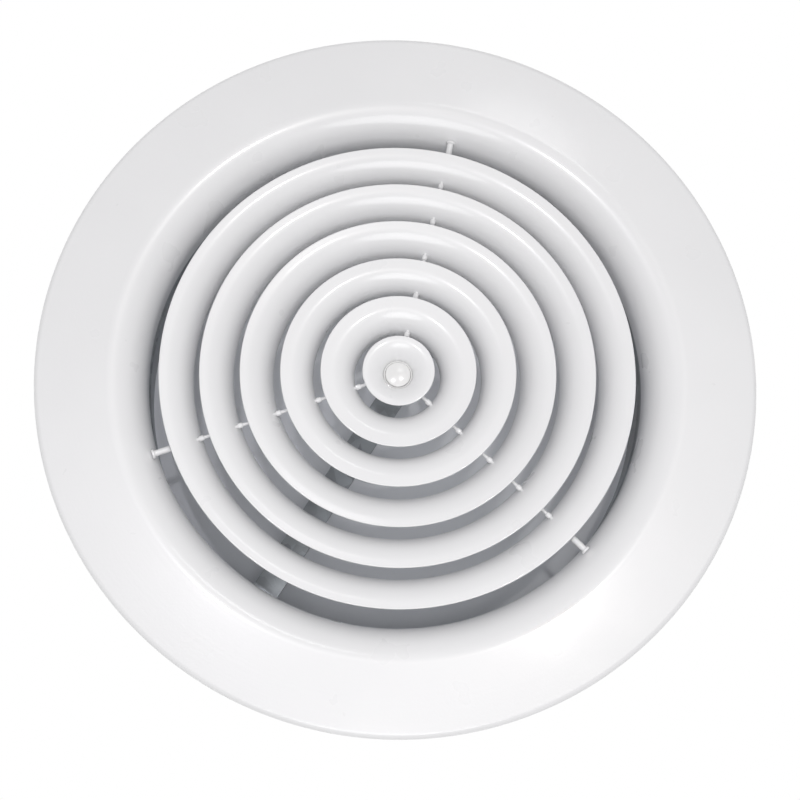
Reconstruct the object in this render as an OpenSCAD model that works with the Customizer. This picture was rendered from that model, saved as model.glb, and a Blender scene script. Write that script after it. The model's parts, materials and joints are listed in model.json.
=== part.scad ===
// Round ceiling air diffuser: a bell-mouthed face frame on a duct neck, and a core of nested
// trumpet-shaped cones that one central screw holds up to a bar across the neck.
// Millimetres. Origin at the centre of the ceiling plane, +Z up into the duct, face looking down.

/* [Face frame] */
// Diameter over the rim of the face
face_d = 420; // [400:1:440]
// Depth of the face below the ceiling plane
face_drop = 5; // [5:0.5:7]
// Thickness of the frame and cone sheet
sheet = 1; // [0.8:0.1:1.2]
// Radius of the bell mouth, on the side that is seen
bell_r = 22; // [20:0.5:24]
// Radius of the rolled outer edge
rim_r = 3; // [2.5:0.5:3.5]

/* [Duct neck] */
// Outside diameter of the neck, one size under its duct
neck_d = 298; // [296:1:298]
// Wall of the neck
neck_wall = 0.8; // [0.7:0.1:0.8]
// Height of the neck's free end above the ceiling plane
neck_top = 68; // [66:1:72]
// Height of the frame's collar inside the neck
collar_top = 26; // [24:1:27]
// Height of the stiffening groove
groove_z = 40; // [38:1:41]
// Height of the fixing holes for duct screws
fixing_z = 31; // [30:1:33]
// Diameter of the fixing holes
fixing_d = 4.2; // [3.2:0.1:4.2]
// Direction of the first fixing hole
fixing_turn = 75.8; // [60:0.1:90]

/* [Cones] */
// Number of open cones round the centre cone
cone_count = 5; // [5:1:5]
// Lip radius of the largest cone
first_lip_r = 138.5; // [137:0.5:139]
// Step from one cone's lip to the next
lip_step = 23.3; // [23:0.1:23.4]
// Width of the gap between a lip and the collar round it
air_gap = 4.3; // [4.2:0.1:4.5]
// Depth of an open cone from lip to back edge
cone_depth = 20; // [19:0.5:21]
// Flare radius of the three outer cones, on the side that is seen
outer_flare_r = 18; // [17:0.5:18]
// Flare radius of the two inner open cones, on the side that is seen
inner_flare_r = 14.3; // [13.3:0.1:15]
// Slope of the lips of the three outer cones
outer_slope = 8; // [6:0.5:9]
// Slope of the lips of the two inner open cones
inner_slope = 3; // [2:0.5:5]
// Lip radius of the centre cone
centre_lip_r = 21; // [20:0.5:21]
// Flare radius of the centre cone
centre_flare_r = 11; // [10:0.5:11]
// Radius of the centre cone's tube, inside
centre_tube_r = 8.5; // [8.5:0.1:8.6]
// Depth of the centre cone from lip to back edge
centre_depth = 25; // [24:0.5:25]

/* [Spacer pins] */
// Height of the pins above the ceiling plane
pin_z = 3.5; // [3.5:0.1:4]
// Directions of the three rows of pins
pin_turns = [43.8, 160.7, 282.4]; // [0:0.1:360]
// Diameter of a pin's head
pin_head_d = 3.2; // [3:0.1:3.4]
// Length of a pin's head
pin_head_l = 3; // [2.5:0.1:3.2]
// Diameter of a pin's shank
pin_d = 2; // [1.8:0.1:2.2]
// Diameter of the centring feet on the outer pins
foot_d = 5.4; // [5:0.1:6]
// Thickness of a centring foot
foot_t = 1.4; // [1.2:0.1:2]
// Diameter of the thick part of the outer pins
foot_body_d = 3.7; // [3.4:0.1:4]
// Length of the thick part of the outer pins
foot_body_l = 9.5; // [8:0.5:10]

/* [Centre screw] */
// Thread diameter of the centre screw
screw_d = 6; // [6:1:6]
// Height of the screw's tip above the ceiling plane
screw_top = 65; // [64:0.5:66]
// Diameter of the screw's head
screw_head_d = 10.5; // [10:0.1:11]
// Diameter of the push-in cap
cap_d = 14.8; // [14.6:0.1:14.9]

/* [Cross bar] */
// Height of the underside of the bar
bar_z = 46; // [45.5:0.5:47]
// Width of the bar
bar_w = 16; // [14:1:18]
// Thickness of the bar
bar_t = 2; // [1.5:0.5:2]
// Direction of the bar
bar_turn = 122; // [118:1:124]
// Height of the bar's end tabs
tab_h = 14; // [13:1:15]

/* [Hidden] */
$fn = 96;
eps = 0.01;
lap = 0.002;
face_z = -face_drop;
rim_top = -0.5;
rim_c = face_d / 2 - rim_r;
collar_gap = 0.1;
neck_r = neck_d / 2;
neck_in_r = neck_r - neck_wall;
throat_r = neck_in_r - collar_gap - sheet;
bell_c = throat_r + bell_r;
bell_z = face_z + bell_r;
gasket_out_r = 202;
gasket_in_r = 186;
groove_r = 0.9;
pin_gap = 0.03;
foot_clear = 0.35;
tail_grip = 1.5;
head_gap = 0.05;
bore_clear = 0.1;
bush_r = centre_tube_r - 0.05;
core_tail_r = 9.1;
bush_low = 4.9;
bush_top = 18;
web_low = 12;
seat_r = 7.6;
washer_t = 1;
washer_r = 5.8;
head_t = 3;
play = 0.05;
ring_t = 0.8;
ring_groove_r = 2.4;
cap_low = 4.4;
nut_top = 56;
nut_flange_r = 6.5;
nut_body_r = 4.5;
bar_reach = sqrt(neck_in_r * neck_in_r - bar_w * bar_w / 4) - 0.1;
rivet_r = 2;
rivet_head_r = 3.4;
rivet_head_t = 1.4;
rivet_step = 8;
rivet_rise = 9;
white = [0.93, 0.93, 0.94];
zinc = [0.6, 0.62, 0.65];

function lip_r(k) = first_lip_r - (k - 1) * lip_step;
function collar_r(k) = (k < cone_count ? lip_r(k + 1) : centre_lip_r) + air_gap;
function lip_slope(k) = k <= 3 ? outer_slope : inner_slope;
function flare_r(k) = k <= 3 ? outer_flare_r : inner_flare_r;
// Width of the straight part of a lip, measured square to the axis
function lip_w(lip, upright, seen_r, slope) = lip - upright - seen_r + seen_r * sin(slope);
// Height at which the bend behind a lip becomes upright
function bend_z(lip, upright, seen_r, slope) =
    face_z + seen_r * cos(slope) + lip_w(lip, upright, seen_r, slope) * tan(slope);
// Radius at height z of a bend that becomes upright at height top
function bend_at(upright, seen_r, top, z) =
    upright + seen_r - sqrt(pow(seen_r, 2) - pow(max(top - z, 0), 2));
// Radius at which the pin heads seat against cone k
function head_r(k) =
    bend_at(collar_r(k), flare_r(k), bend_z(lip_r(k), collar_r(k), flare_r(k), lip_slope(k)),
        pin_z + pin_head_d / 2) - head_gap;

// Sheet bend centred at (c, z), from upright to the given slope; its seen side has radius seen_r
module bend(c, z, seen_r, slope) {
    translate([c, z]) intersection() {
        difference() {
            circle(r = seen_r);
            circle(r = seen_r - sheet);
        }
        translate([-seen_r - 1, -seen_r - 1]) square(seen_r + 1);
        rotate(-slope) translate([-seen_r - 1, -seen_r - 1]) square(seen_r + 1);
    }
}

// Half section of a trumpet cone: sloping lip, bend and upright collar
module trumpet(lip, upright, seen_r, slope, depth) {
    top = bend_z(lip, upright, seen_r, slope);
    bend(upright + seen_r, top, seen_r, slope);
    translate([lip, face_z])
        rotate(180 - slope)
            translate([0, -sheet])
                square([lip_w(lip, upright, seen_r, slope) / cos(slope) + lap, sheet]);
    translate([upright, top]) square([sheet, face_z + depth - top]);
}

module at_pins() {
    for (turn = pin_turns)
        rotate([0, 0, turn])
            translate([0, 0, pin_z])
                rotate([0, 90, 0])
                    children();
}

// Cylinder along the pin's line, from one radius of the diffuser to another
module along_pin(r, from, to) {
    translate([0, 0, from]) cylinder(r = r, h = to - from);
}

// Origin on each bar rivet's line where it meets the inside of the neck, +Z outward
module at_rivets() {
    for (s = [0, 180])
        for (y = [-1, 1])
            rotate([0, 0, bar_turn + s])
                translate([bar_reach, y * rivet_step / 2, bar_z + rivet_rise])
                    rotate([0, 90, 0])
                        children();
}

module face_frame() {
    color(white) rotate_extrude() {
        translate([bell_c, face_z]) square([rim_c - bell_c, sheet]);
        bend(bell_c, bell_z, bell_r, 0);
        translate([throat_r, bell_z]) square([sheet, collar_top - bell_z]);
        translate([2 * rim_c, 0]) mirror([1, 0]) bend(rim_c, face_z + rim_r, rim_r, 0);
        translate([rim_c + rim_r - sheet, face_z + rim_r])
            square([sheet, rim_top - face_z - rim_r]);
    }
}

module duct_neck() {
    color(zinc) difference() {
        rotate_extrude() difference() {
            union() {
                translate([neck_in_r, bell_z + 0.5]) square([neck_wall, neck_top - bell_z - 0.5]);
                translate([neck_r, groove_z]) circle(r = groove_r + neck_wall);
            }
            translate([neck_r, groove_z]) circle(r = groove_r);
            translate([neck_r, groove_z - 4]) square([4, 8]);
        }
        for (i = [0:2])
            rotate([0, 0, fixing_turn + i * 120])
                translate([neck_in_r - 4, 0, fixing_z])
                    rotate([0, 90, 0])
                        cylinder(d = fixing_d, h = 8);
        at_rivets() translate([0, 0, -4]) cylinder(r = rivet_r + pin_gap, h = 10);
    }
}

module ceiling_gasket() {
    color([0.25, 0.25, 0.26]) rotate_extrude()
        translate([gasket_in_r, face_z + sheet])
            square([gasket_out_r - gasket_in_r, face_drop - sheet]);
}

// Cone number k, with a hole where each row of pins passes
module cone(k) {
    color(white) difference() {
        rotate_extrude() trumpet(lip_r(k), collar_r(k), flare_r(k), lip_slope(k), cone_depth);
        at_pins() along_pin(pin_d / 2 + pin_gap, collar_r(k) - 4, collar_r(k) + 6);
    }
}

module centre_cone() {
    color(white) difference() {
        rotate_extrude() trumpet(centre_lip_r, centre_tube_r, centre_flare_r, 0, centre_depth);
        at_pins() along_pin(pin_d / 2 + pin_gap, bush_r - 3, bush_r + 5);
    }
}

// Pins of the outermost gap: each ends in a foot that centres the core in the bell mouth
module foot_pins() {
    foot_r = bend_at(throat_r, bell_r, bell_z, pin_z + foot_d / 2) - foot_clear;
    color(white) at_pins() {
        along_pin(foot_d / 2, foot_r - foot_t, foot_r);
        along_pin(foot_body_d / 2, foot_r - foot_t - foot_body_l, foot_r - foot_t);
        along_pin(pin_d / 2, head_r(1) - tail_grip, foot_r - foot_t);
    }
}

// Pins between cone k and the next one inward: the head is bored for the tail of the pin outside
// it, so that each row grips the cones like beads on a wire
module spacer_pins(k) {
    head = head_r(k);
    tail = k < cone_count ? head_r(k + 1) - tail_grip : core_tail_r;
    color(white) at_pins() difference() {
        union() {
            along_pin(pin_head_d / 2, head - pin_head_l, head);
            along_pin(pin_d / 2, tail, head - pin_head_l + eps);
        }
        along_pin(pin_d / 2 + pin_gap, head - tail_grip - pin_gap, head + 1);
    }
}

// Bush in the tube of the centre cone: seats the cap and carries the screw's head on its web
module hub_bush() {
    color(white) difference() {
        translate([0, 0, bush_low]) cylinder(r = bush_r, h = bush_top - bush_low);
        translate([0, 0, bush_low - 1]) cylinder(r = seat_r, h = web_low - bush_low + 1);
        translate([0, 0, web_low - 1]) cylinder(r = screw_d / 2 + bore_clear, h = 10);
    }
}

module head_washer() {
    color(zinc) difference() {
        translate([0, 0, web_low - washer_t]) cylinder(r = washer_r, h = washer_t);
        translate([0, 0, web_low - 3]) cylinder(r = screw_d / 2 + bore_clear, h = 5);
    }
}

module thrust_washer() {
    color(zinc) difference() {
        translate([0, 0, bush_top]) cylinder(r = washer_r, h = washer_t);
        translate([0, 0, bush_top - 2]) cylinder(r = screw_d / 2 + bore_clear, h = 5);
    }
}

module centre_screw() {
    head_top = web_low - washer_t - play;
    groove_low = bush_top + washer_t + play;
    color(zinc) difference() {
        union() {
            translate([0, 0, head_top - head_t]) cylinder(d = screw_head_d, h = head_t);
            translate([0, 0, head_top - eps]) cylinder(d = screw_d, h = screw_top - head_top + eps);
        }
        translate([0, 0, head_top - head_t - 1]) cylinder(d = 4.6, h = 2.8, $fn = 6);
        translate([0, 0, groove_low]) difference() {
            cylinder(d = screw_d + 2, h = ring_t);
            translate([0, 0, -1]) cylinder(r = ring_groove_r, h = ring_t + 2);
        }
    }
}

// Open ring that snaps into the screw's groove above the thrust washer
module retaining_ring() {
    color([0.3, 0.3, 0.32]) translate([0, 0, bush_top + washer_t + play]) difference() {
        cylinder(r = washer_r - 0.4, h = ring_t);
        translate([0, 0, -1]) cylinder(r = ring_groove_r, h = ring_t + 2);
        translate([0, -1.6, -1]) cube([10, 3.2, ring_t + 2]);
    }
}

// Domed push-in cap with a hollow skirt, over the screw's head
module centre_cap() {
    dome_r = 30;
    cap_r = cap_d / 2;
    dome_low = cap_low - 0.9;
    color([0.97, 0.97, 0.97]) {
        intersection() {
            translate([0, 0, dome_low]) cylinder(r = cap_r, h = 2.1);
            translate([0, 0, dome_low + dome_r]) sphere(r = dome_r);
        }
        translate([0, 0, dome_low + 2]) difference() {
            cylinder(r = cap_r - 0.5, h = 2);
            translate([0, 0, -1]) cylinder(r = cap_r - 1.5, h = 4);
        }
    }
}

module cross_bar() {
    color(zinc) difference() {
        rotate([0, 0, bar_turn]) union() {
            translate([-bar_reach, -bar_w / 2, bar_z]) cube([2 * bar_reach, bar_w, bar_t]);
            for (s = [-1, 1])
                translate([s * (bar_reach - bar_t / 2), 0, bar_z + tab_h / 2])
                    cube([bar_t, bar_w, tab_h], center = true);
        }
        translate([0, 0, bar_z - 1]) cylinder(r = nut_body_r, h = bar_t + 2);
        at_rivets() translate([0, 0, -4]) cylinder(r = rivet_r + pin_gap, h = 8);
    }
}

// Rivet nut in the middle of the bar, for the centre screw
module bar_nut() {
    color([0.72, 0.68, 0.5]) difference() {
        union() {
            translate([0, 0, bar_z - 1]) cylinder(r = nut_flange_r, h = 1);
            translate([0, 0, bar_z - 0.5]) cylinder(r = nut_body_r, h = nut_top - bar_z + 0.5);
            translate([0, 0, bar_z + bar_t]) cylinder(r = nut_body_r + 1.2, h = 2.4);
        }
        translate([0, 0, bar_z - 2]) cylinder(r = screw_d / 2 + play, h = 16);
    }
}

// Two rivets through each end tab and the neck, headed inside and flush outside
module bar_rivets() {
    flush = sqrt(neck_r * neck_r - rivet_step * rivet_step / 4) - bar_reach - 0.1;
    color(zinc) at_rivets() {
        translate([0, 0, -bar_t - rivet_head_t]) cylinder(r = rivet_head_r, h = rivet_head_t);
        translate([0, 0, -bar_t]) cylinder(r = rivet_r, h = bar_t + flush);
    }
}

face_frame();
duct_neck();
ceiling_gasket();
cone(1);  // cone_1
cone(2);  // cone_2
cone(3);  // cone_3
cone(4);  // cone_4
cone(5);  // cone_5
centre_cone();
foot_pins();
spacer_pins(1);  // spacer_pins_1
spacer_pins(2);  // spacer_pins_2
spacer_pins(3);  // spacer_pins_3
spacer_pins(4);  // spacer_pins_4
spacer_pins(5);  // spacer_pins_5
hub_bush();
head_washer();
thrust_washer();
centre_screw();
retaining_ring();
centre_cap();
cross_bar();
bar_nut();
bar_rivets();
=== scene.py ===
import json
import math

import bmesh
import bpy
from mathutils import Matrix, Vector

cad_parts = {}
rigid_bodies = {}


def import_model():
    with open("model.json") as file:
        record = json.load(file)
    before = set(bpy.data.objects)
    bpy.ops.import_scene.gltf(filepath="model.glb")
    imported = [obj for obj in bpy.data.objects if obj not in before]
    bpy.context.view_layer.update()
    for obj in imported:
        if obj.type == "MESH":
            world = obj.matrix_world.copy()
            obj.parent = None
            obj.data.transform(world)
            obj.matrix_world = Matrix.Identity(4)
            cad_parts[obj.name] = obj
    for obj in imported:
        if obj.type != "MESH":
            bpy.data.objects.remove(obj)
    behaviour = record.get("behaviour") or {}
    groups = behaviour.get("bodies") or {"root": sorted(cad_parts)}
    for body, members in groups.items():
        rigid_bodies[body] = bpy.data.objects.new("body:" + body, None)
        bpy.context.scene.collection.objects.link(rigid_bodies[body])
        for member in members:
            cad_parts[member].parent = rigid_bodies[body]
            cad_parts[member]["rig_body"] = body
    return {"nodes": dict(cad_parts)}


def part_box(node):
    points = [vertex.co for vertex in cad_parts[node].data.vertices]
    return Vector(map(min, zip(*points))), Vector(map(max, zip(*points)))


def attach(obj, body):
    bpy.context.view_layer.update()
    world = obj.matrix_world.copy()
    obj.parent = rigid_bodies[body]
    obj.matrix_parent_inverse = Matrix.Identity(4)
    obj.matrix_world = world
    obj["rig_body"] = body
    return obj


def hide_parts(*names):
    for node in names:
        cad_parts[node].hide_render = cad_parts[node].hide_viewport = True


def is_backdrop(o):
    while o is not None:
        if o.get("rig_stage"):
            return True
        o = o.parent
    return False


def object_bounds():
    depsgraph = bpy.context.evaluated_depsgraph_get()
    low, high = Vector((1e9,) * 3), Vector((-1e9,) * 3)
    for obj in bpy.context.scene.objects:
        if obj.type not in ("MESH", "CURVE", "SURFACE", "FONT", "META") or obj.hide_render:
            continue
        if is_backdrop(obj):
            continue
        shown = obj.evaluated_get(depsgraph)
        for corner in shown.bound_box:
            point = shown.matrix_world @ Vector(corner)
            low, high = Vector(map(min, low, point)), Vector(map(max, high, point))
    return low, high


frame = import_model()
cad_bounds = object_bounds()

bl_info = {
    "name": "Round ceiling air diffuser",
    "version": (1, 0, 0),
    "blender": (4, 5, 0),
    "location": "View3D > Sidebar > Diffuser",
    "description": "Builds the painted, plated and moulded pieces of a round ceiling air diffuser",
    "category": "Object",
}

FULL_TURN = 2 * math.pi
CONES = [f"cone_{k}" for k in range(1, 6)]
GAPS = ["foot_pins"] + [f"spacer_pins_{k}" for k in range(1, 6)]

# Sizes in metres that the boxes of the CAD nodes don't give
DRILL_LENGTH = 0.01
FIXING_HEIGHT = 0.031
FIXING_RADIUS = 0.0021
RIVET_HOLE_RADIUS = 0.00203
SCREW_HOLE_RADIUS = 0.0031
BAR_THICKNESS = 0.002
GASKET_WIDTH = 0.016
SMALL_EDGE = 0.0003
THIN_EDGE = 0.00012
BACKING_GAP = 0.0006
FLOOR_SIZE = 20.0


def reach(node):
    """How far a CAD node reaches along +X, in metres."""
    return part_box(node)[1].x


def low(node):
    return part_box(node)[0].z


def high(node):
    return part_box(node)[1].z


def reach_round(node):
    """Outer radius of a round CAD node from all four sides, so that facets don't shrink it."""
    least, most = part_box(node)
    return max(most.x, most.y, -least.x, -least.y)


def heading(turn):
    return Vector((math.cos(turn), math.sin(turn), 0))


def turned_box(node, turn):
    """Least and most corner of a CAD node in axes turned about Z."""
    back = Matrix.Rotation(-turn, 3, "Z")
    points = [back @ v.co for v in frame["nodes"][node].data.vertices]
    return [Vector([pick(p[i] for p in points) for i in range(3)]) for pick in (min, max)]


def rivet_places(turn):
    """Where each bar rivet leaves the neck, with its direction outward."""
    least, most = turned_box("bar_rivets", turn)
    head = (most.z - least.z) / 2
    places = []
    for end in (turn, turn + math.pi):
        out, across = heading(end), heading(end + math.pi / 2)
        for side in (1, -1):
            point = out * most.x + across * side * (most.y - head)
            places.append((point + Vector((0, 0, (least.z + most.z) / 2)), out))
    return places


def length_prop(name, text, default):
    return bpy.props.FloatProperty(
        name=name, description=text, default=default, min=0.0, unit="LENGTH", precision=5
    )


def angle_prop(name, text, degrees):
    return bpy.props.FloatProperty(
        name=name, description=text, default=math.radians(degrees), subtype="ANGLE"
    )


def colour_prop(name, text, default):
    return bpy.props.FloatVectorProperty(
        name=name, description=text, default=default, size=3, min=0.0, max=1.0, subtype="COLOR"
    )


def factor_prop(name, text, default):
    return bpy.props.FloatProperty(name=name, description=text, default=default, min=0.0, max=1.0)


class DiffuserShape(bpy.types.PropertyGroup):
    """Sizes of the sheet metal and of the small parts."""

    sheet: length_prop("Sheet", "Thickness of the painted sheet", 0.001)
    bell_radius: length_prop("Bell mouth", "Radius of the bell mouth, seen side", 0.022)
    rim_radius: length_prop("Rim", "Radius of the rolled outer rim", 0.003)
    air_gap: length_prop("Air gap", "Width between a lip and the collar round it", 0.0043)
    outer_flare: length_prop("Outer flare", "Flare radius of the three outer cones", 0.018)
    inner_flare: length_prop("Inner flare", "Flare radius of the two inner open cones", 0.0143)
    centre_flare: length_prop("Centre flare", "Flare radius of the centre cone", 0.011)
    outer_slope: angle_prop("Outer slope", "Slope of the three outer cones' lips", 8)
    inner_slope: angle_prop("Inner slope", "Slope of the two inner open cones' lips", 3)
    tube_radius: length_prop("Tube", "Radius of the centre cone's tube, inside", 0.0085)
    neck_wall: length_prop("Neck wall", "Thickness of the neck's sheet", 0.0008)
    groove_height: length_prop("Groove height", "Height of the neck's groove", 0.04)
    groove_radius: length_prop("Groove", "Radius of the neck's groove", 0.0009)
    pin_radius: length_prop("Pin", "Radius of a spacer pin's shank", 0.001)
    pin_head: length_prop("Pin head", "Radius of a spacer pin's head", 0.0016)
    pin_head_length: length_prop("Pin head length", "Length of a spacer pin's head", 0.003)
    foot: length_prop("Foot", "Radius of the outer pins' feet", 0.0027)
    foot_body: length_prop("Outer pin", "Radius of the outer pins' thick part", 0.00185)
    foot_thickness: length_prop("Foot thickness", "Thickness of the outer pins' feet", 0.0014)
    foot_length: length_prop("Outer pin length", "From foot to shoulder", 0.0109)
    pin_turns: bpy.props.FloatVectorProperty(
        name="Pin turns",
        description="Directions of the three rows of pins",
        default=[math.radians(turn) for turn in (43.8, 160.7, 282.4)],
        size=3,
        unit="ROTATION",
    )
    bar_turn: angle_prop("Bar turn", "Direction of the cross bar", 122)
    fixing_turn: angle_prop("Fixing turn", "Direction of the first fixing hole", 75.8)
    thread_pitch: length_prop("Thread pitch", "Pitch of the centre screw", 0.001)
    steps: bpy.props.IntProperty(
        name="Steps", description="Faces round a large ring", default=256, min=24, max=512
    )


class DiffuserFinish(bpy.types.PropertyGroup):
    """Colours and gloss of the finishes."""

    paint: colour_prop("Paint", "White powder coat", (0.92, 0.92, 0.925))
    paint_gloss: factor_prop("Paint roughness", "Roughness of the powder coat", 0.28)
    zinc: colour_prop("Zinc", "Galvanised sheet", (0.36, 0.38, 0.40))
    plating: colour_prop("Plating", "Zinc-plated fasteners", (0.66, 0.67, 0.69))
    foam: colour_prop("Foam", "Gasket foam", (0.035, 0.035, 0.038))
    plastic: colour_prop("Plastic", "Moulded white plastic", (0.88, 0.88, 0.87))
    spring_steel: colour_prop("Spring steel", "Blackened clip", (0.03, 0.03, 0.033))


class DiffuserStage(bpy.types.PropertyGroup):
    """Camera and lights."""

    tilt: angle_prop("Tilt", "Angle of the camera from the diffuser's axis", 14.4)
    turn: angle_prop("Turn", "Direction in which the camera is tilted away", 10.05)
    distance: length_prop("Distance", "From the camera to the middle of the face", 0.957)
    aside: length_prop("Aside", "How far the axis passes right of the view's middle", -0.00076)
    above: length_prop("Above", "How far the axis passes above the view's middle", 0.01725)
    lens: bpy.props.FloatProperty(
        name="Lens", description="Focal length in millimetres on a 36 mm sensor", default=74.25
    )
    floor_drop: length_prop("Floor", "Height of the ceiling plane above the floor", 2.4)
    sky: factor_prop("Sky", "Strength of the soft light from the sides", 0.7)
    sky_top: factor_prop("Sky overhead", "Strength of the soft light from overhead", 1.0)


# ---------------------------------------------------------------- outlines and spun sheet


def arc(cx, cz, radius, start, end, count):
    """Points along an arc in the half plane of the axis; angles in degrees."""
    turns = [math.radians(start + (end - start) * i / count) for i in range(count + 1)]
    return [(cx + radius * math.cos(a), cz + radius * math.sin(a)) for a in turns]


def rounded_box(inner, outer, bottom, top, edge, count=4):
    """Outline of a ring of rectangular section with rounded edges, anticlockwise."""
    return (
        arc(outer - edge, bottom + edge, edge, -90, 0, count)
        + arc(outer - edge, top - edge, edge, 0, 90, count)
        + arc(inner + edge, top - edge, edge, 90, 180, count)
        + arc(inner + edge, bottom + edge, edge, 180, 270, count)
    )


def held(start, end, keep=0.0002):
    """Points that keep the shading of a straight flat up to both its ends."""
    span = math.dist(start, end)
    if span < 4 * keep:
        return []
    ratios = [keep / span, 0.5, 1 - keep / span]
    return [tuple(a + (b - a) * t for a, b in zip(start, end)) for t in ratios]


def trumpet_outline(lip, upright, flare, slope, face, top, sheet):
    """Closed outline of a trumpet cone: the seen side from lip to back edge, then the back."""
    lean = math.degrees(slope)
    half = sheet / 2
    straight = lip - upright - flare + flare * math.sin(slope)
    cx, cz = upright + flare, face + flare * math.cos(slope) + straight * math.tan(slope)
    edge_x = lip - half * math.cos(slope) + half * math.sin(slope)
    edge_z = face + half * math.sin(slope) + half * math.cos(slope)
    edge = arc(edge_x, edge_z, half, 90 - lean, -90 - lean, 8)
    seen = arc(cx, cz, flare, 270 - lean, 180, 32)
    back = arc(cx, cz, flare - sheet, 180, 270 - lean, 32)
    return (
        edge
        + held(edge[-1], seen[0])
        + seen
        + arc(upright + half, top - half, half, 180, 0, 8)
        + back
        + held(back[-1], edge[0])
    )


def axis_turn(axis):
    """Turns the Z axis onto the given one."""
    return Vector((0, 0, 1)).rotation_difference(Vector(axis)).to_matrix().to_4x4()


def spin_outline(bm, outline, steps, closed=True, centre=(0, 0, 0), axis=(0, 0, 1)):
    """Spins an outline of (radius, height) points a full turn about an axis through centre."""
    place = Matrix.Translation(centre) @ axis_turn(axis)
    start = [bm.verts.new(place @ Vector((r, 0, z))) for r, z in outline]
    pairs = list(zip(start, start[1:]))
    if closed:
        pairs.append((start[-1], start[0]))
    edges = [bm.edges.new(p) for p in pairs]
    bmesh.ops.spin(
        bm,
        geom=start + edges,
        cent=centre,
        axis=axis,
        angle=FULL_TURN,
        steps=steps,
        use_merge=True,
    )


def settle(bm, sharp_degrees=40):
    """Closes seams and poles, turns every face outward and marks the sharp edges."""
    bmesh.ops.remove_doubles(bm, verts=bm.verts, dist=1e-6)
    bmesh.ops.recalc_face_normals(bm, faces=bm.faces)
    limit = math.radians(sharp_degrees)
    for face in bm.faces:
        face.smooth = True
    for edge in bm.edges:
        edge.smooth = edge.calc_face_angle(0.0) < limit


def as_piece(bm, name, material, node, sharp_degrees=40):
    """Makes an object of the bmesh that stands for a CAD node and rides on its body."""
    settle(bm, sharp_degrees)
    mesh = bpy.data.meshes.new(name)
    bm.to_mesh(mesh)
    bm.free()
    piece = bpy.data.objects.new(name, mesh)
    bpy.context.scene.collection.objects.link(piece)
    mesh.materials.append(material)
    nodes = [node] if isinstance(node, str) else list(node)
    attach(piece, frame["nodes"][nodes[0]]["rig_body"])
    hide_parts(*nodes)
    return piece


def cut(piece, drills):
    """Cuts round holes through a piece; each drill is (point, axis, radius, length)."""
    bm = bmesh.new()
    for point, axis, radius, length in drills:
        bmesh.ops.create_cone(
            bm,
            cap_ends=True,
            segments=32,
            radius1=radius,
            radius2=radius,
            depth=length,
            matrix=Matrix.Translation(point) @ axis_turn(axis),
        )
    tool_mesh = bpy.data.meshes.new("drill")
    bm.to_mesh(tool_mesh)
    bm.free()
    tool = bpy.data.objects.new("drill", tool_mesh)
    bpy.context.scene.collection.objects.link(tool)
    modifier = piece.modifiers.new("Holes", "BOOLEAN")
    modifier.operation = "DIFFERENCE"
    modifier.solver = "EXACT"
    modifier.object = tool
    graph = bpy.context.evaluated_depsgraph_get()
    holed = bpy.data.meshes.new_from_object(piece.evaluated_get(graph))
    piece.modifiers.clear()
    plain, piece.data = piece.data, holed
    holed.name = piece.name
    bpy.data.meshes.remove(plain)
    bpy.data.objects.remove(tool)
    bpy.data.meshes.remove(tool_mesh)


# ---------------------------------------------------------------- finishes


def finish_name(slot):
    """Name of the node material of a slot; the frame already holds plain ones named after slots."""
    return f"{slot}_finish"


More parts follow.
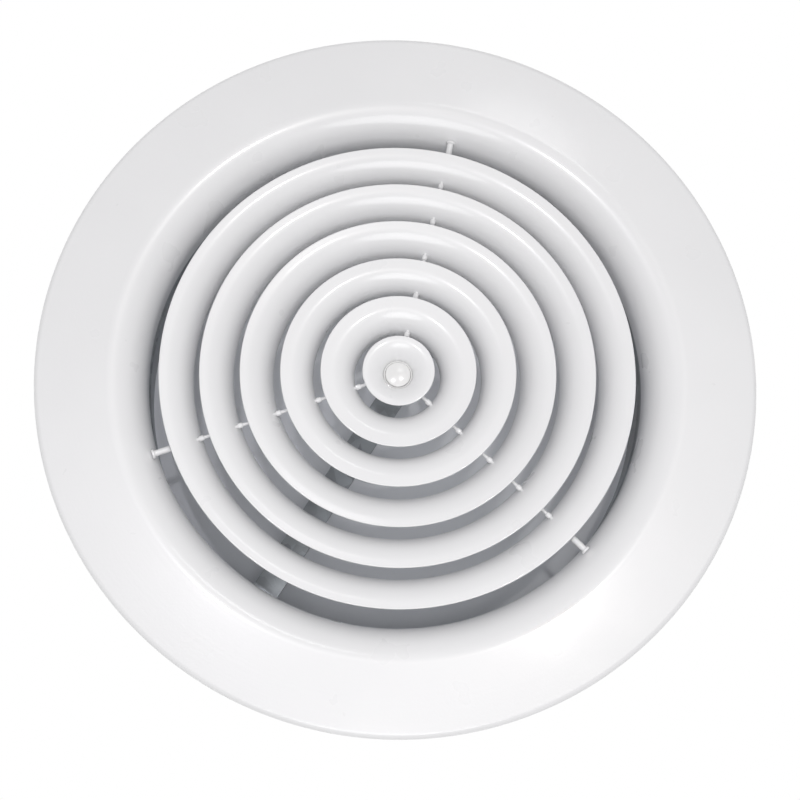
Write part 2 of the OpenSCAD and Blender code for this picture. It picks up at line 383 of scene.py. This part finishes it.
class Finish:
    """A node material under construction, read from Object coordinates."""

    def __init__(self, slot):
        self.material = bpy.data.materials.new(finish_name(slot))
        self.material.use_nodes = True
        self.tree = self.material.node_tree
        self.shader = self.tree.nodes["Principled BSDF"]
        self.place = self.node("ShaderNodeTexCoord").outputs["Object"]

    def node(self, kind, settings=None, **inputs):
        node = self.tree.nodes.new(kind)
        for key, value in (settings or {}).items():
            setattr(node, key, value)
        for key, value in inputs.items():
            self.feed(node.inputs[key.replace("_", " ")], value)
        return node

    def feed(self, socket, value):
        if isinstance(value, bpy.types.NodeSocket):
            self.tree.links.new(value, socket)
        else:
            socket.default_value = value

    def noise(self, scale, detail=2.0, rough=0.5, stretch=None):
        place = self.place
        if stretch:
            place = self.node("ShaderNodeMapping", Vector=place, Scale=stretch).outputs[0]
        node = self.node(
            "ShaderNodeTexNoise", Vector=place, Scale=scale, Detail=detail, Roughness=rough
        )
        return node.outputs["Fac"]

    def cells(self, scale, output="Color"):
        node = self.node("ShaderNodeTexVoronoi", Vector=self.place, Scale=scale)
        return node.outputs[output]

    def radius(self):
        """Distance from the diffuser's axis."""
        flat = self.node("ShaderNodeVectorMath", {"operation": "MULTIPLY"})
        self.feed(flat.inputs[0], self.place)
        flat.inputs[1].default_value = (1, 1, 0)
        size = self.node("ShaderNodeVectorMath", {"operation": "LENGTH"})
        self.feed(size.inputs[0], flat.outputs[0])
        return size.outputs["Value"]

    def span(self, value, low_out, high_out, low_in=0.0, high_in=1.0):
        node = self.node("ShaderNodeMapRange", Value=value)
        for key, number in (
            ("From Min", low_in), ("From Max", high_in), ("To Min", low_out), ("To Max", high_out),
        ):
            node.inputs[key].default_value = number
        return node.outputs["Result"]

    def blend(self, factor, first, second):
        node = self.node("ShaderNodeMix", {"data_type": "RGBA"})
        self.feed(node.inputs[0], factor)
        self.feed(node.inputs[6], as_colour(first))
        self.feed(node.inputs[7], as_colour(second))
        return node.outputs[2]

    def bump(self, layers):
        """Chains bump layers of (height socket, strength, distance)."""
        normal = None
        for height, strength, distance in layers:
            node = self.node("ShaderNodeBump", Height=height)
            node.inputs["Strength"].default_value = strength
            node.inputs["Distance"].default_value = distance
            if normal is not None:
                self.feed(node.inputs["Normal"], normal)
            normal = node.outputs["Normal"]
        self.feed(self.shader.inputs["Normal"], normal)

    def set(self, **values):
        for key, value in values.items():
            self.feed(self.shader.inputs[key.replace("_", " ")], value)
        return self.material


def as_colour(value):
    return value if isinstance(value, bpy.types.NodeSocket) else (*value, 1.0)


def shade(colour, factor):
    return tuple(min(1.0, c * factor) for c in colour)


def powder_coat(finish):
    """Gloss white powder coat: fine orange peel, faint rings, uneven gloss."""
    f = Finish("white_powder_coat")
    cloud = f.noise(9.0, 3.0)
    tint = f.blend(f.span(cloud, 0.0, 1.0, 0.35, 0.65), shade(finish.paint, 0.975), finish.paint)
    rings = f.node("ShaderNodeTexNoise", {"noise_dimensions": "1D"}, W=f.radius(), Scale=420.0)
    gloss = f.span(f.noise(35.0, 3.0), finish.paint_gloss - 0.04, finish.paint_gloss + 0.06)
    f.bump([
        (f.noise(650.0, 1.0), 0.10, 0.0002),
        (rings.outputs["Fac"], 0.04, 0.0003),
        (f.noise(26.0, 1.0), 0.05, 0.0015),
    ])
    return f.set(Base_Color=tint, Roughness=gloss, Coat_Weight=0.5, Coat_Roughness=0.09)


def galvanised(finish):
    """Hot-dipped zinc with spangle, dulled in patches."""
    f = Finish("galvanised_sheet")
    spangle = f.cells(170.0)
    grain = f.node("ShaderNodeSeparateColor", Color=spangle).outputs[0]
    base = f.blend(grain, shade(finish.zinc, 0.82), shade(finish.zinc, 1.2))
    stain = f.span(f.noise(14.0, 4.0), 0.0, 0.6, 0.5, 0.75)
    base = f.blend(stain, base, (0.33, 0.32, 0.30))
    gloss = f.span(grain, 0.36, 0.54)
    f.bump([(f.noise(900.0, 2.0), 0.15, 0.0001), (grain, 0.08, 0.0001)])
    return f.set(Base_Color=base, Roughness=gloss, Metallic=0.9)


def plated(finish):
    """Bright zinc plating with turning marks."""
    f = Finish("zinc_plate")
    grain = f.noise(300.0, 3.0, 0.6, (1, 1, 14))
    base = f.blend(f.noise(60.0), shade(finish.plating, 0.9), shade(finish.plating, 1.08))
    f.bump([(grain, 0.2, 0.00008)])
    return f.set(Base_Color=base, Roughness=f.span(grain, 0.22, 0.42), Metallic=1.0)


def foam(finish):
    """Closed-cell foam of the gasket."""
    f = Finish("foam_seal")
    pits = f.cells(1400.0, output="Distance")
    # Painted shade: the colour turns darker towards the middle of each pit, where the bump dips, standing
    # in for shade inside the pores
    base = f.blend(pits, shade(finish.foam, 0.6), shade(finish.foam, 1.7))
    f.bump([(pits, 0.6, 0.0004), (f.noise(120.0), 0.3, 0.0005)])
    return f.set(Base_Color=base, Roughness=0.92)


def moulded(finish):
    """Gloss white plastic with faint flow marks."""
    f = Finish("white_plastic")
    flow = f.noise(120.0, 3.0)
    base = f.blend(flow, shade(finish.plastic, 0.97), finish.plastic)
    f.bump([(f.noise(500.0, 1.0), 0.06, 0.0001)])
    return f.set(Base_Color=base, Roughness=f.span(flow, 0.16, 0.24), Coat_Weight=0.3,
                 Coat_Roughness=0.05)


def blackened(finish):
    """Blackened spring steel of the clip."""
    f = Finish("black_spring_steel")
    patch = f.noise(500.0, 3.0)
    base = f.blend(patch, finish.spring_steel, shade(finish.spring_steel, 2.2))
    f.bump([(patch, 0.2, 0.00005)])
    return f.set(Base_Color=base, Roughness=f.span(patch, 0.3, 0.5), Metallic=0.8)


MAKERS = {
    "white_powder_coat": powder_coat,
    "galvanised_sheet": galvanised,
    "zinc_plate": plated,
    "foam_seal": foam,
    "white_plastic": moulded,
    "black_spring_steel": blackened,
}


def finish_for(slot):
    """The material of a finish, made when it is first asked for."""
    found = bpy.data.materials.get(finish_name(slot))
    return found or MAKERS[slot](bpy.context.scene.diffuser_finish)


# ---------------------------------------------------------------- operators


class DIFFUSER_OT_face(bpy.types.Operator):
    """Wide painted face with its rolled rim, bell mouth and collar"""

    bl_idname = "diffuser.face"
    bl_label = "Face frame"

    def execute(self, context):
        shape = context.scene.diffuser_shape
        sheet, bell, rim = shape.sheet, shape.bell_radius, shape.rim_radius
        edge, face, top = reach("face_frame"), low("face_frame"), high("face_frame")
        rim_top = high("ceiling_gasket") - sheet / 2
        throat = reach("duct_neck") - shape.neck_wall - sheet / 10 - sheet
        cx, cz, rx, half = throat + bell, face + bell, edge - rim, sheet / 2
        outline = (
            arc(edge - half, rim_top - half, half, 180, 0, 8)
            + arc(rx, face + rim, rim, 0, -90, 12)
            + held((rx, face), (cx, face))
            + arc(cx, cz, bell, 270, 180, 40)
            + arc(throat + half, top - half, half, 180, 0, 8)
            + arc(cx, cz, bell - sheet, 180, 270, 32)
            + arc(rx, face + rim, rim - sheet, -90, 0, 8)
        )
        bm = bmesh.new()
        spin_outline(bm, outline, shape.steps)
        as_piece(bm, "painted_face", finish_for("white_powder_coat"), "face_frame")
        return {"FINISHED"}


class DIFFUSER_OT_neck(bpy.types.Operator):
    """Galvanised neck with its groove, fixing holes and rivet holes"""

    bl_idname = "diffuser.neck"
    bl_label = "Duct neck"

    def execute(self, context):
        shape = context.scene.diffuser_shape
        outer, bottom, top = reach_round("duct_neck"), low("duct_neck"), high("duct_neck")
        wall, groove, at = shape.neck_wall, shape.groove_radius, shape.groove_height
        inner, half = outer - wall, wall / 2
        swell = groove + wall
        lean = math.degrees(math.acos(wall / swell))
        outline = (
            arc(inner + half, bottom + half, half, 180, 360, 6)
            + arc(outer, at, groove, 270, 90, 10)
            + arc(inner + half, top - half, half, 0, 180, 6)
            + arc(outer, at, swell, 180 - lean, 180 + lean, 10)
        )
        bm = bmesh.new()
        spin_outline(bm, outline, shape.steps)
        neck = as_piece(bm, "galvanised_neck", finish_for("galvanised_sheet"), "duct_neck")
        drills = []
        for i in range(3):
            out = heading(shape.fixing_turn + i * FULL_TURN / 3)
            place = out * outer + Vector((0, 0, FIXING_HEIGHT))
            drills.append((place, out, FIXING_RADIUS, DRILL_LENGTH))
        for point, out in rivet_places(shape.bar_turn):
            drills.append((point, out, RIVET_HOLE_RADIUS, DRILL_LENGTH))
        cut(neck, drills)
        return {"FINISHED"}


class DIFFUSER_OT_cones(bpy.types.Operator):
    """The open cones and the centre cone"""

    bl_idname = "diffuser.cones"
    bl_label = "Cones"

    def execute(self, context):
        shape = context.scene.diffuser_shape
        paint = finish_for("white_powder_coat")
        nodes = CONES + ["centre_cone"]
        slopes = [shape.outer_slope] * 3 + [shape.inner_slope] * 2 + [0.0]
        flares = [shape.outer_flare] * 3 + [shape.inner_flare] * 2 + [shape.centre_flare]
        lips = [reach_round(n) - shape.sheet * math.sin(s) for n, s in zip(nodes, slopes)]
        collars = [lip + shape.air_gap for lip in lips[1:]] + [shape.tube_radius]
        for node, lip, collar, flare, slope in zip(nodes, lips, collars, flares, slopes):
            outline = trumpet_outline(
                lip, collar, flare, slope, low(node), high(node), shape.sheet
            )
            bm = bmesh.new()
            spin_outline(bm, outline, shape.steps)
            as_piece(bm, f"painted_{node}", paint, node)
        return {"FINISHED"}


class DIFFUSER_OT_pins(bpy.types.Operator):
    """Spacer pins between the cones, and the outer pins with their feet"""

    bl_idname = "diffuser.pins"
    bl_label = "Spacer pins"

    def execute(self, context):
        shape = context.scene.diffuser_shape
        for node in GAPS:
            least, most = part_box(node)
            points = [v.co for v in frame["nodes"][node].data.vertices]
            far = max(p.dot(heading(shape.pin_turns[0])) for p in points)
            near = min(math.hypot(p.x, p.y) for p in points)
            outline = self.outline(shape, node == "foot_pins", far, near)
            bm = bmesh.new()
            for turn in shape.pin_turns:
                centre = (0, 0, (least.z + most.z) / 2)
                spin_outline(bm, outline, 24, False, centre, heading(turn))
            as_piece(bm, f"painted_{node}", finish_for("white_powder_coat"), node, 60)
        return {"FINISHED"}

    def outline(self, shape, footed, far, near):
        """Half outline of a pin from its outer end to its tail, as (radius, distance out)."""
        foot, head, shank, edge = shape.foot, shape.pin_head, shape.pin_radius, SMALL_EDGE
        foot_back = far - shape.foot_thickness
        if footed:
            head = shape.foot_body
            shoulder = far - shape.foot_length
            points = arc(foot - edge, far - edge, edge, 90, 0, 3)
            points += arc(foot - edge, foot_back + edge, edge, 0, -90, 3)
            points += arc(head + edge, foot_back - edge, edge, 90, 180, 3)
        else:
            shoulder = far - shape.pin_head_length
            points = arc(head - edge, far - edge, edge, 90, 0, 3)
        points += arc(head - 2 * edge, shoulder + 2 * edge, 2 * edge, 0, -90, 6)
        points += [(shank, shoulder - edge / 3), (shank, near + edge), (shank - edge, near)]
        return [(0, far)] + points + [(0, near)]


class DIFFUSER_OT_hub(bpy.types.Operator):
    """Bush, cap, washers and clip on the axis"""

    bl_idname = "diffuser.hub"
    bl_label = "Hub"

    def execute(self, context):
        plastic = finish_for("white_plastic")
        outer, bottom, top = reach_round("hub_bush"), low("hub_bush"), high("hub_bush")
        seat, web, bore = 0.0076, 0.012, SCREW_HOLE_RADIUS
        edge, top_edge = SMALL_EDGE, 0.0005
        outline = (
            arc(seat + edge, bottom + edge, edge, 180, 270, 4)
            + arc(outer - edge, bottom + edge, edge, 270, 360, 4)
            + arc(outer - top_edge, top - top_edge, top_edge, 0, 90, 4)
            + arc(bore + edge, top - edge, edge, 90, 180, 4)
            + [(bore, web), (seat, web)]
        )
        bm = bmesh.new()
        spin_outline(bm, outline, 96)
        as_piece(bm, "moulded_bush", plastic, "hub_bush")
        self.cap(plastic)
        for node in ("head_washer", "thrust_washer"):
            bm = bmesh.new()
            washer = rounded_box(SCREW_HOLE_RADIUS, reach_round(node), low(node), high(node), THIN_EDGE, 2)
            spin_outline(bm, washer, 72)
            as_piece(bm, f"plated_{node}", finish_for("zinc_plate"), node)
        self.clip()
        return {"FINISHED"}

    def cap(self, plastic):
        """Domed disc with a hollow skirt."""
        edge, bottom, top = reach_round("centre_cap"), low("centre_cap"), high("centre_cap")
        dome, brim = 0.03, edge - SMALL_EDGE
        lean = math.degrees(math.asin(brim / dome))
        brim_height, disc_top = bottom + 0.00125, bottom + 0.0021
        skirt, hollow = edge - 0.0005, edge - 0.0015
        outline = (
            arc(0, bottom + dome, dome, -90, -90 + lean, 14)
            + arc(brim, brim_height, SMALL_EDGE, -50, 0, 3)
            + [(edge, disc_top), (skirt, disc_top), (skirt, top)]
            + [(hollow, top), (hollow, disc_top), (0, disc_top)]
        )
        bm = bmesh.new()
        spin_outline(bm, outline, 96, False)
        as_piece(bm, "moulded_cap", plastic, "centre_cap")

    def clip(self):
        """Open ring of square section."""
        node = "retaining_ring"
        groove, half_gap, gap_reach = 0.0024, 0.0016, 0.0054
        outline = rounded_box(groove, reach_round(node), low(node), high(node), THIN_EDGE, 2)
        gap = math.asin(half_gap / gap_reach)
        bm = bmesh.new()
        start = [bm.verts.new((r, 0, z)) for r, z in outline]
        section = bm.faces.new(start)
        bmesh.ops.rotate(bm, verts=start, cent=(0, 0, 0), matrix=Matrix.Rotation(gap, 3, "Z"))
        bmesh.ops.spin(
            bm, geom=[section], cent=(0, 0, 0), axis=(0, 0, 1), angle=FULL_TURN - 2 * gap, steps=60
        )
        as_piece(bm, "blackened_clip", finish_for("black_spring_steel"), node)


class DIFFUSER_OT_screw(bpy.types.Operator):
    """Centre screw with its socket head and thread"""

    bl_idname = "diffuser.screw"
    bl_label = "Centre screw"

    def execute(self, context):
        pitch = context.scene.diffuser_shape.thread_pitch
        bottom, top, head = low("centre_screw"), high("centre_screw"), reach_round("centre_screw")
        major, minor, root = 0.003, 0.00245, 0.00236
        head_top, thread_low = bottom + 0.003, high("retaining_ring") + 0.0008
        socket, socket_end, head_edge, play = 0.0025, bottom + 0.0018, 0.0015, 0.00005
        groove_low, groove_high = low("retaining_ring") - play, high("retaining_ring") + play
        bm = bmesh.new()
        outline = (
            [(0, socket_end), (socket, socket_end), (socket, bottom + 0.0002)]
            + [(socket + 0.0002, bottom)]
            + arc(head - head_edge, bottom + head_edge, head_edge, -90, 0, 8)
            + arc(head - SMALL_EDGE, head_top - SMALL_EDGE, SMALL_EDGE, 0, 90, 3)
            + [(major, head_top), (major, groove_low)]
            + [(root, groove_low), (root, groove_high)]
            + [(major, groove_high), (major, thread_low - 0.0004)]
            + [(minor, thread_low), (minor, top - 0.0009), (minor - 0.0005, top), (0, top)]
        )
        spin_outline(bm, outline, 48, False)
        self.thread(bm, pitch, thread_low, top - 0.0008, major, minor)
        as_piece(bm, "plated_screw", finish_for("zinc_plate"), "centre_screw", 25)
        return {"FINISHED"}

    def thread(self, bm, pitch, start, end, major, minor):
        """A ridge wound up the shank, sunk a little into it, and closed at both ends."""
        turns = int((end - start) / pitch) - 1
        around = 20
        sunk = minor - 0.0001
        ridge = [(sunk, 0.06), (major, 0.42), (major, 0.58), (sunk, 0.94)]
        section = [bm.verts.new((r, 0, start + h * pitch)) for r, h in ridge]
        bm.faces.new(section)
        bmesh.ops.spin(
            bm,
            geom=[section[0].link_faces[0]],
            cent=(0, 0, 0),
            axis=(0, 0, 1),
            dvec=(0, 0, pitch / around),
            angle=FULL_TURN * turns,
            steps=around * turns,
        )


class DIFFUSER_OT_bar(bpy.types.Operator):
    """Cross bar with its rivet nut and rivets"""

    bl_idname = "diffuser.bar"
    bl_label = "Cross bar"

    def execute(self, context):
        turn = context.scene.diffuser_shape.bar_turn
        least, most = turned_box("cross_bar", turn)
        thick, bend = BAR_THICKNESS, 0.003
        end, under, top = most.x, least.z, most.z
        right = (
            arc(end - bend, under + bend, bend, -90, 0, 8)
            + [(end, top), (end - thick, top)]
            + arc(end - bend, under + bend, bend - thick, 0, -90, 5)
        )
        left = [(-x, z) for x, z in reversed(right)]
        bm = bmesh.new()
        side = [bm.verts.new((x, least.y, z)) for x, z in left + right]
        strip = bm.faces.new(side)
        grown = bmesh.ops.extrude_face_region(bm, geom=[strip])["geom"]
        moved = [g for g in grown if isinstance(g, bmesh.types.BMVert)]
        bmesh.ops.translate(bm, verts=moved, vec=(0, most.y - least.y, 0))
        bmesh.ops.rotate(bm, verts=bm.verts, matrix=Matrix.Rotation(turn, 3, "Z"))
        bmesh.ops.recalc_face_normals(bm, faces=bm.faces)
        sharp = [e for e in bm.edges if e.calc_face_angle(0.0) > math.radians(60)]
        bmesh.ops.bevel(
            bm, geom=sharp, offset=SMALL_EDGE, segments=2, affect="EDGES", profile=0.5, material=-1
        )
        as_piece(bm, "galvanised_bar", finish_for("galvanised_sheet"), "cross_bar", 30)
        self.nut()
        self.rivets(turn)
        return {"FINISHED"}

    def nut(self):
        """Flange below the bar, swelled shank above it, threaded inside."""
        bottom, top, flange = low("bar_nut"), high("bar_nut"), reach_round("bar_nut")
        bar_under, body, bore = low("cross_bar"), 0.0045, 0.00305
        bar_top, edge = bar_under + BAR_THICKNESS, SMALL_EDGE
        pitch, wide = 0.001, bore + 0.0004
        inside = []
        count = int((top - bottom - 0.0012) / pitch)
        for i in range(count):
            z = top - 0.0008 - i * pitch
            inside += [(bore, z), (wide, z - pitch / 2)]
        outline = (
            [(wide, top), (body - edge, top), (body, top - edge)]
            + [(body, bar_top + 0.0027)]
            + arc(body, bar_top + 0.0014, 0.0012, 80, -80, 8)
            + [(body, bar_top), (body, bar_under)]
            + arc(flange - edge, bar_under - edge, edge, 90, 0, 3)
            + arc(flange - edge, bottom + edge, edge, 0, -90, 3)
            + [(wide, bottom)]
            + list(reversed(inside))
        )
        bm = bmesh.new()
        spin_outline(bm, outline, 64)
        as_piece(bm, "plated_nut", finish_for("zinc_plate"), "bar_nut", 30)

    def rivets(self, turn):
        """Blind rivets: a low dome inside with the broken mandrel in its middle."""
        tab = turned_box("cross_bar", turn)[1].x - BAR_THICKNESS
        outer_end = turned_box("bar_rivets", turn)[1].x
        length = outer_end - tab + 0.0014
        dome = (
            [(0, 0.0006), (0.0009, 0.0006), (0.0010, 0.0), (0.0022, 0.00015)]
            + [(0.0030, 0.0006), (0.0034, 0.0011), (0.0034, 0.0014), (0.0020, 0.0014)]
            + [(0.0020, length - 0.0002), (0.0018, length), (0, length)]
        )
        bm = bmesh.new()
        for point, out in rivet_places(turn):
            spin_outline(bm, dome, 32, False, point - out * length, out)
        as_piece(bm, "plated_rivets", finish_for("zinc_plate"), "bar_rivets", 50)


class DIFFUSER_OT_gasket(bpy.types.Operator):
    """Foam ring behind the face"""

    bl_idname = "diffuser.gasket"
    bl_label = "Ceiling gasket"

    def execute(self, context):
        node = "ceiling_gasket"
        outer = reach_round(node)
        outline = rounded_box(outer - GASKET_WIDTH, outer, low(node), high(node), 0.0008, 4)
        bm = bmesh.new()
        spin_outline(bm, outline, context.scene.diffuser_shape.steps)
        as_piece(bm, "foam_gasket", finish_for("foam_seal"), node)
        return {"FINISHED"}


class DIFFUSER_OT_stage(bpy.types.Operator):
    """Floor, backing, lights and camera"""

    bl_idname = "diffuser.stage"
    bl_label = "Stage"

    # Each lamp: place in the view (right, up, towards the viewer), width, watts and colour
    LAMPS = {
        "lamp_right": ((0.36, 0.18, 2.15), 0.10, 5.0, (1.0, 0.97, 0.94)),
        "lamp_left": ((-0.123, 0.01, 0.81), 0.03, 0.8, (0.98, 0.96, 1.0)),
        "lamp_top": ((0.28, 0.92, 2.0), 0.30, 1.0, (1.0, 1.0, 1.0)),
        "lamp_under": ((0.0, -0.35, 0.7), 0.40, 1.4, (0.99, 0.99, 1.0)),
    }

    def execute(self, context):
        stage = context.scene.diffuser_stage
        self.sky(context.scene, stage)
        self.floor(stage)
        self.backing()
        middle = Vector((0, 0, low("face_frame")))
        for name, (place, size, power, colour) in self.LAMPS.items():
            self.lamp(name, middle, place, size, power, colour)
        self.camera(context.scene, stage, middle)
        context.scene.view_settings.view_transform = "Standard"
        return {"FINISHED"}

    def sky(self, scene, stage):
        """Even light, brighter overhead."""
        world = bpy.data.worlds.new("soft_sky")
        world.use_nodes = True
        tree = world.node_tree
        background = tree.nodes["Background"]
        background.inputs["Color"].default_value = (1, 1, 1, 1)
        heading_up = tree.nodes.new("ShaderNodeSeparateXYZ")
        tree.links.new(tree.nodes.new("ShaderNodeTexCoord").outputs["Generated"], heading_up.inputs[0])
        ramp = tree.nodes.new("ShaderNodeMapRange")
        ramp.inputs["From Min"].default_value = 0.3
        ramp.inputs["From Max"].default_value = 0.75
        ramp.inputs["To Min"].default_value = stage.sky
        ramp.inputs["To Max"].default_value = stage.sky_top
        tree.links.new(heading_up.outputs["Z"], ramp.inputs["Value"])
        tree.links.new(ramp.outputs["Result"], background.inputs["Strength"])
        scene.world = world

    def sheet(self, name, size, height, round_edge=False):
        bm = bmesh.new()
        if round_edge:
            bmesh.ops.create_circle(bm, cap_ends=True, segments=96, radius=size)
        else:
            bmesh.ops.create_grid(bm, x_segments=1, y_segments=1, size=size)
        bmesh.ops.translate(bm, verts=bm.verts, vec=(0, 0, height))
        mesh = bpy.data.meshes.new(name)
        bm.to_mesh(mesh)
        bm.free()
        piece = bpy.data.objects.new(name, mesh)
        bpy.context.scene.collection.objects.link(piece)
        piece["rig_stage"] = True
        return piece

    def floor(self, stage):
        floor = self.sheet("floor", FLOOR_SIZE, -stage.floor_drop)
        f = Finish("pale_floor")
        floor.data.materials.append(f.set(Base_Color=(0.52, 0.52, 0.525, 1), Roughness=0.8))

    def backing(self):
        """Pale board against the neck's free end, seen through the gaps and clear from above."""
        backing = self.sheet("backing", reach("duct_neck"), high("duct_neck") + BACKING_GAP, True)
        backing.data.flip_normals()
        f = Finish("pale_backing")
        f.set(Base_Color=(0.78, 0.80, 0.84, 1), Roughness=0.7)
        clear = f.node("ShaderNodeBsdfTransparent")
        back = f.node("ShaderNodeNewGeometry").outputs["Backfacing"]
        mix = f.node("ShaderNodeMixShader")
        f.feed(mix.inputs[0], back)
        f.feed(mix.inputs[1], f.shader.outputs[0])
        f.feed(mix.inputs[2], clear.outputs[0])
        f.feed(f.tree.nodes["Material Output"].inputs["Surface"], mix.outputs[0])
        backing.data.materials.append(f.material)

    def view_axes(self, stage):
        """Right, up and back of the camera; the view's up is -Y, as the face looks down."""
        lean, turn = stage.tilt, stage.turn
        back = Vector(
            (-math.sin(lean) * math.sin(turn), math.sin(lean) * math.cos(turn), -math.cos(lean))
        )
        up = Vector((0, -1, 0))
        up = (up - back * up.dot(back)).normalized()
        return up.cross(back), up, back

    def camera(self, scene, stage, middle):
        right, up, back = self.view_axes(stage)
        place = middle + back * stage.distance - right * stage.aside - up * stage.above
        data = bpy.data.cameras.new("camera")
        data.lens = stage.lens
        data.sensor_width = 36
        data.clip_end = 100
        camera = bpy.data.objects.new("camera", data)
        scene.collection.objects.link(camera)
        camera.matrix_world = Matrix.Translation(place) @ Matrix((right, up, back)).transposed().to_4x4()
        scene.camera = camera

    def lamp(self, name, middle, place, size, power, colour):
        """A round lamp aimed at the middle of the face."""
        out = Vector((place[0], -place[1], -place[2]))
        data = bpy.data.lights.new(name, "AREA")
        data.shape = "DISK"
        data.size = size
        data.energy = power
        data.color = colour
        lamp = bpy.data.objects.new(name, data)
        bpy.context.scene.collection.objects.link(lamp)
        lamp.matrix_world = Matrix.Translation(middle + out) @ axis_turn(out)
        lamp.visible_camera = False


class DIFFUSER_PT_build(bpy.types.Panel):
    """Lists the steps that build the diffuser"""

    bl_label = "Ceiling diffuser"
    bl_idname = "DIFFUSER_PT_build"
    bl_space_type = "VIEW_3D"
    bl_region_type = "UI"
    bl_category = "Diffuser"

    def draw(self, context):
        for step in STEPS:
            self.layout.operator(step.bl_idname)
        for group in ("diffuser_shape", "diffuser_finish", "diffuser_stage"):
            settings = getattr(context.scene, group)
            box = self.layout.box()
            for key in settings.bl_rna.properties.keys():
                if key not in ("rna_type", "name"):
                    box.prop(settings, key)


STEPS = (
    DIFFUSER_OT_stage,
    DIFFUSER_OT_face,
    DIFFUSER_OT_neck,
    DIFFUSER_OT_gasket,
    DIFFUSER_OT_cones,
    DIFFUSER_OT_pins,
    DIFFUSER_OT_hub,
    DIFFUSER_OT_screw,
    DIFFUSER_OT_bar,
)
GROUPS = {
    "diffuser_shape": DiffuserShape,
    "diffuser_finish": DiffuserFinish,
    "diffuser_stage": DiffuserStage,
}


def register():
    for kind in (*GROUPS.values(), *STEPS, DIFFUSER_PT_build):
        bpy.utils.register_class(kind)
    for name, group in GROUPS.items():
        setattr(bpy.types.Scene, name, bpy.props.PointerProperty(type=group))


def unregister():
    for name in GROUPS:
        delattr(bpy.types.Scene, name)
    for kind in reversed((*GROUPS.values(), *STEPS, DIFFUSER_PT_build)):
        bpy.utils.unregister_class(kind)


def plain(bounds):
    return [[float(x) for x in corner] for corner in bounds]


def main():
    register()
    for step in STEPS:
        group, action = step.bl_idname.split(".")
        getattr(getattr(bpy.ops, group), action)()
    {"cad": plain(cad_bounds), "visual": plain(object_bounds())}


if __name__ == "__main__":
    main()
